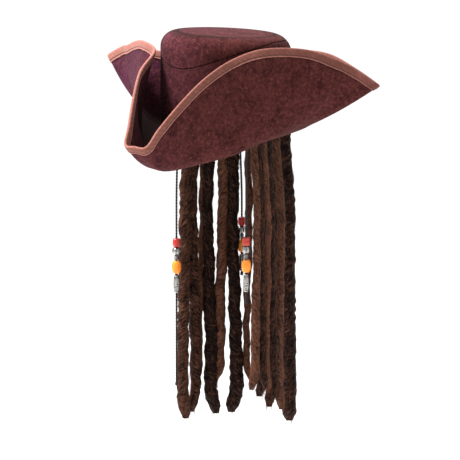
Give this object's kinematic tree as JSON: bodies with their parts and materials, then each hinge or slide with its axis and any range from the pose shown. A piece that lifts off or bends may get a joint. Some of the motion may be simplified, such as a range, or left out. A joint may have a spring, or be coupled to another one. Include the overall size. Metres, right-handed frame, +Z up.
{
  "type": "tricorn hat with dreadlocks and strings of beads",
  "caption": "Cocked hat of suede cloth with a brim turned up on three sides and bound in bias tape, a domed crown, and dreadlocks with beaded cords hanging from its opening.",
  "frame": {"origin": "middle of the head opening, at the height of its front and back edge, where the hat sits on a head", "axes": "+Z up out of the crown, the front corner of the brim points to -Y, the wearer's left is +X"},
  "size_m": [0.4654, 0.3686, 0.5949],
  "materials": {
    "suede": "napped, mottled and matt",
    "bias_tape": "soft woven tape",
    "hair": "felted fibre with a low sheen",
    "cord": "twisted cord",
    "red_bead": "glossy",
    "silver_bead": "worn bright plating",
    "amber_bead": "glossy"
  },
  "bodies": {
    "root": {"crown_side": "suede", "crown_tip": "suede", "brim": "suede", "brim_binding": "bias_tape", "dreadlocks": "hair", "bead_cord_1": "cord", "red_bead_1": "red_bead", "silver_ball_1": "silver_bead", "silver_spacer_1": "silver_bead", "amber_bead_1": "amber_bead", "silver_tube_1": "silver_bead", "bead_cord_2": "cord", "red_bead_2": "red_bead", "silver_ball_2": "silver_bead", "silver_spacer_2": "silver_bead", "amber_bead_2": "amber_bead", "silver_tube_2": "silver_bead", "bead_cord_3": "cord", "red_bead_3": "red_bead", "silver_ball_3": "silver_bead", "silver_spacer_3": "silver_bead", "amber_bead_3": "amber_bead", "silver_tube_3": "silver_bead"}
  },
  "joints": []
}
